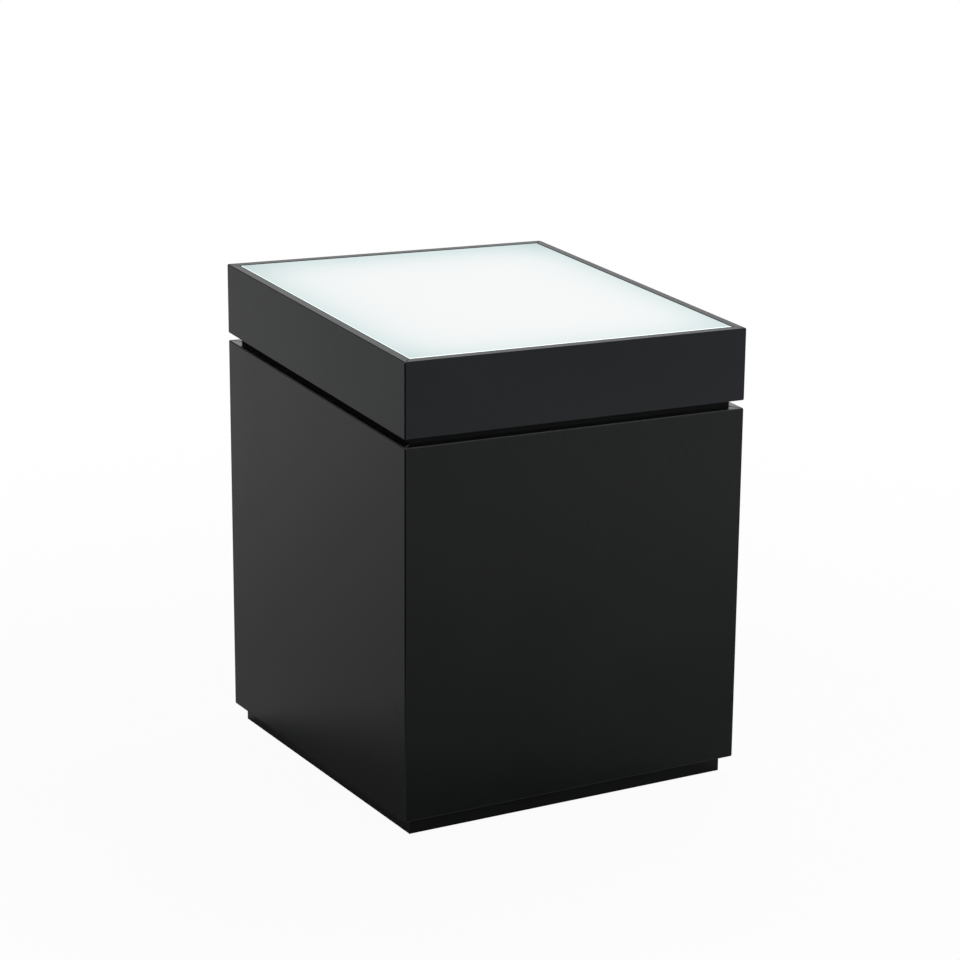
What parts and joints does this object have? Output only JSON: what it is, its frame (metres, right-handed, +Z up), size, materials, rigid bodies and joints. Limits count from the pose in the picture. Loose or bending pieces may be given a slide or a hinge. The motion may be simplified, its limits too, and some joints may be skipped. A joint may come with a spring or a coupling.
{
  "type": "light-box display pedestal",
  "caption": "Black laminated display pedestal on a recessed plinth, with a shadow gap under a sloping lift-off light box topped with frosted glass.",
  "frame": {"origin": "on the floor, under the middle of the cabinet", "axes": "+Z up, front face towards -Y, and the top climbs towards +Y"},
  "size_m": [0.61, 0.635, 0.801],
  "materials": {
    "black_laminate": "satin black laminate on board",
    "white_board": "matt white paint on board",
    "pine": "planed softwood",
    "aluminium": "extruded, natural anodised",
    "led_strip": "white circuit strip with LEDs",
    "milky_cover": "milky polycarbonate",
    "white_plastic": "moulded",
    "spring_steel": "bright spring steel",
    "zinc_steel": "zinc plated",
    "white_lead": "white sheath",
    "black_lead": "black sheath",
    "rubber": "black rubber",
    "driver_case": "anodised case",
    "black_steel": "black painted sheet steel",
    "black_plastic": "moulded, fine texture",
    "switch_plastic": "moulded, semi-gloss",
    "brass": "tinned brass",
    "bedding_tape": "closed-cell foam tape",
    "frosted_glass": "etched, lit from below"
  },
  "bodies": {
    "cabinet": {"front_panel": "black_laminate", "back_panel": "black_laminate", "left_panel": "black_laminate", "right_panel": "black_laminate", "bottom_panel": "black_laminate", "deck_panel": "white_board", "plinth_front": "black_laminate", "plinth_back": "black_laminate", "plinth_left": "black_laminate", "plinth_right": "black_laminate", "corner_post_front_left": "pine", "corner_post_front_right": "pine", "corner_post_back_left": "pine", "corner_post_back_right": "pine", "deck_battens": "pine", "collar_front": "black_laminate", "collar_back": "black_laminate", "collar_left": "black_laminate", "collar_right": "black_laminate", "led_channel_1": "aluminium", "led_channel_2": "aluminium", "led_channel_3": "aluminium", "led_channel_4": "aluminium", "led_strip_1": "led_strip", "led_strip_2": "led_strip", "led_strip_3": "led_strip", "led_strip_4": "led_strip", "led_cover_1": "milky_cover", "led_cover_2": "milky_cover", "led_cover_3": "milky_cover", "led_cover_4": "milky_cover", "led_end_caps": "white_plastic", "led_clips": "spring_steel", "led_clip_screws": "zinc_steel", "led_links": "white_lead", "deck_grommet": "rubber", "lamp_lead": "white_lead", "mains_lead": "black_lead", "lead_clips": "white_plastic", "driver_case": "driver_case", "driver_screws": "zinc_steel", "inlet_plate": "black_steel", "inlet_plate_screws": "zinc_steel", "inlet_housing": "black_plastic", "inlet_pins": "brass", "deck_screws": "zinc_steel", "collar_screws": "zinc_steel", "plinth_screws": "zinc_steel"},
    "rocker": {"rocker": "switch_plastic"},
    "lit_top": {"top_rail_front": "black_laminate", "top_rail_back": "black_laminate", "top_rail_left": "black_laminate", "top_rail_right": "black_laminate", "top_liner_front": "white_board", "top_liner_back": "white_board", "top_liner_left": "white_board", "top_liner_right": "white_board", "glass_tape": "bedding_tape"},
    "glass": {"glass_panel": "frosted_glass"}
  },
  "joints": [
    {"name": "lit_top_lift", "type": "slide", "parent": "cabinet", "child": "lit_top", "axis": [0, 0, 1], "range_m": [0, 0.15]},
    {"name": "glass_lift", "type": "slide", "parent": "lit_top", "child": "glass", "axis": [0, 0, 1], "range_m": [0, 0.1]},
    {"name": "rocker_tip", "type": "hinge", "parent": "cabinet", "child": "rocker", "pos_m": [0.215, 0.302, 0.102], "axis": [1, 0, 0], "range_deg": [0, 14]}
  ]
}
